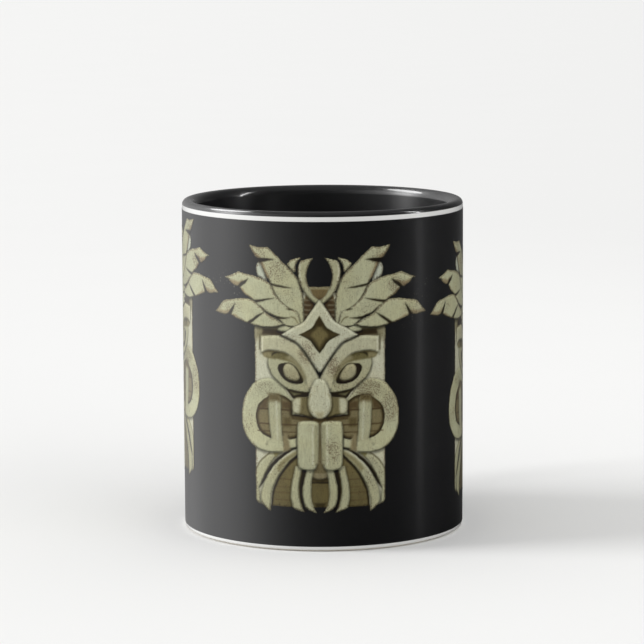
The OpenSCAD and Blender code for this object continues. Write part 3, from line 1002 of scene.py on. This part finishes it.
def makeCamera():
    pickNothing()
    bpy.ops.object.camera_add(location=Vector(view["place"]) * mm)
    camera = bpy.context.object
    look = Vector(view["aim"]) - Vector(view["place"])
    camera.rotation_euler = look.to_track_quat("-Z", "Y").to_euler()
    camera.rotation_euler.rotate_axis("Z", math.radians(view["roll"]))
    camera.data.lens = view["lens"]
    camera.data.sensor_width = 36
    camera.data.clip_start = 0.01
    camera.data.clip_end = 40
    bpy.context.scene.camera = camera


def direction(turn, rise):
    # degrees round from the camera's side, left is minus, and degrees up
    turn, rise = math.radians(turn), math.radians(rise)
    return Vector((math.sin(turn) * math.cos(rise), -math.cos(turn) * math.cos(rise), math.sin(rise)))


studio = {
    "ambient": 0.80,
    "dim": 0.02,           # the same sky in reflections
    "key": 2.6,            # low soft light from the left
    "keyHigh": 20.0,       # its height, degrees
    "keyTurn": -86.0,      # its direction from the camera's side, left is minus
    "keySoft": 26.0,
    "fill": 0.8,           # very soft light from the front right
    "fillHigh": 15.0,
    "fillTurn": 50.0,
    "fillSoft": 60.0,
    "floorTone": (0.82, 0.82, 0.815),
    "floorFarShade": 0.93,     # painted shade: farther off, and more so towards the right, the floor's colour is this much of that
    "floorSize": 9.0,      # radius, m
}


def makeFloor():
    pickNothing()
    bpy.ops.mesh.primitive_circle_add(vertices=96, radius=studio["floorSize"], fill_type="NGON")
    floor = bpy.context.object
    floor.name = "pale_floor"
    settle(floor)
    finish = Finish("floor_finish", {"Specular IOR Level": 0.0, "Roughness": 0.9})
    spot = finish.place()
    away = finish.node("ShaderNodeVectorMath", {"operation": "LENGTH"}, {0: spot}, 1)
    across = finish.axis(spot, 0) / (away + 0.3)
    drift = finish.node("ShaderNodeTexNoise", {}, {"Vector": spot, "Scale": 14.0, "Detail": 1.0})
    # painted shade: the floor's colour darkens farther off and towards the right, where the light falls
    # off; a faint noise also varies its tone at random
    shadeAndMottle = finish.span(away, 0.2, 0.9) * (0.35 + finish.span(across, -0.2, 0.2) * 0.65) + drift * 0.15
    finish.set(Base_Color=finish.mix(shadeAndMottle, studio["floorTone"],
                                     tuple(c * studio["floorFarShade"] for c in studio["floorTone"])))
    floor.data.materials.append(finish.material)
    floor.visible_glossy = False


def glowFinish(name, strength, stops, fade=None):
    # brightness by the direction round the cup; 0 and 1 are the back, 0.25 the left,
    # 0.5 the camera's side
    finish = Finish(name, {"Base Color": (0, 0, 0, 1), "Roughness": 1.0, "Specular IOR Level": 0.0,
                           "Emission Strength": strength})
    finish.material.cycles.emission_sampling = "NONE"
    spot = finish.node("ShaderNodeTexCoord", {}, {}, 3)
    x = finish.axis(spot, 0)
    y = finish.axis(spot, 1)
    turn = finish.math("ARCTAN2", x, y * -1.0) / (2 * math.pi) + 0.5
    stops = [((degrees + 180) / 360, (level, level, level)) for degrees, level in stops]
    glowing = finish.node("ShaderNodeValToRGB", {"stops": stops}, {0: turn})
    if fade:
        # the right half is dimmer low down
        z = finish.axis(spot, 2)
        lost = finish.span(z, *fade, 1.0, 0.0) * finish.span(x, 0.0, 0.3) * glow["lost"]
        glowing = finish.mix(lost, glowing, (0, 0, 0))
    finish.set(Emission_Color=glowing)
    return finish


def onlyReflections(piece, name, finish):
    settle(piece)
    piece.name = "reflected_" + name
    piece.data.materials.append(finish.material)
    piece.visible_camera = False
    piece.visible_diffuse = False
    piece.visible_shadow = False
    piece.visible_transmission = False


glow = {
    "radius": 0.9,
    "low": -0.7,
    "high": 1.1,
    "strength": 2.0,
    # direction from the camera's side in degrees, left is minus, and brightness
    "round": (
        (-180, 0.1), (-150, 0.22), (-125, 0.46), (-90, 0.62), (-68, 0.56), (-45, 0.26), (-22, 0.07),
        (0, 0.02), (60, 0.02), (78, 0.04), (84, 0.34), (90, 0.05), (112, 0.03), (135, 0.03),
        (160, 0.06), (180, 0.1),
    ),
    "fade": (-0.20, -0.11),    # heights between which the right half fades
    "lost": 0.75,              # how much of its brightness goes
    "overhead": 0.18,
    "near": 0.85,              # how far off the bright disc and strip hang
    "softboxTurn": -115,       # a bright disc high at the left, behind the cup
    "softboxRise": 50,
    "softboxSize": (0.38, 0.38),
    "softboxLevel": 8.5,
    "stripTurn": 83,           # a narrow upright strip at the right
    "stripRise": 27,
    "stripSize": (0.045, 0.5),
    "stripLevel": 14.0,
}


def makeReflections():
    # a glowing wall, ceiling, disc and strip that only reflections see
    pickNothing()
    bpy.ops.mesh.primitive_cylinder_add(vertices=96, radius=glow["radius"],
                                        depth=glow["high"] - glow["low"], end_fill_type="NOTHING",
                                        location=(0, 0, (glow["high"] + glow["low"]) / 2))
    finish = glowFinish("wall_glow", glow["strength"], glow["round"], glow["fade"])
    onlyReflections(bpy.context.object, "wall", finish)
    pickNothing()
    bpy.ops.mesh.primitive_circle_add(vertices=96, radius=glow["radius"], fill_type="NGON",
                                      location=(0, 0, glow["high"]))
    finish = glowFinish("ceiling_glow", 1.0, ((-180, glow["overhead"]), (180, glow["overhead"])))
    onlyReflections(bpy.context.object, "ceiling", finish)
    for name, sides in (("softbox", 48), ("strip", 4)):
        pickNothing()
        bpy.ops.mesh.primitive_circle_add(vertices=sides, radius=0.5 if sides > 4 else math.sqrt(0.5),
                                          fill_type="NGON", rotation=(0, 0, math.pi / sides))
        box = bpy.context.object
        settle(box)
        box.scale = (*glow[name + "Size"], 1)
        settle(box)
        out = direction(glow[name + "Turn"], glow[name + "Rise"])
        box.rotation_euler = out.to_track_quat("Z", "Y").to_euler()
        box.location = out * glow["near"]
        finish = glowFinish(name + "_glow", glow[name + "Level"], ((-180, 1.0), (180, 1.0)))
        onlyReflections(box, name, finish)


def makeLight():
    world = bpy.data.worlds.new("studio_world")
    bpy.context.scene.world = world
    world.use_nodes = True
    world.node_tree.nodes.clear()
    sky = Wiring(world.node_tree)
    # an even pale sky that mirrors hardly see
    reflected = sky.node("ShaderNodeLightPath", {}, {}, "Is Glossy Ray")
    soft = sky.node("ShaderNodeBackground", {}, {0: (1, 1, 0.995), 1: studio["ambient"]})
    dim = sky.node("ShaderNodeBackground", {}, {1: studio["dim"]})
    both = sky.node("ShaderNodeMixShader", {}, {0: reflected, 1: soft, 2: dim})
    sky.node("ShaderNodeOutputWorld", {}, {0: both})
    for name in ("key", "fill"):
        pickNothing()
        bpy.ops.object.light_add(type="SUN")
        lamp = bpy.context.object
        lamp.name = name + "_light"
        lamp.data.energy = studio[name]
        lamp.data.angle = math.radians(studio[name + "Soft"])
        source = direction(studio[name + "Turn"], studio[name + "High"])
        lamp.rotation_euler = source.to_track_quat("Z", "Y").to_euler()
        lamp.visible_glossy = name == "key"


makeCamera()
makeFloor()
makeLight()
makeReflections()
bpy.context.scene.view_settings.view_transform = "Standard"
print("studio set")
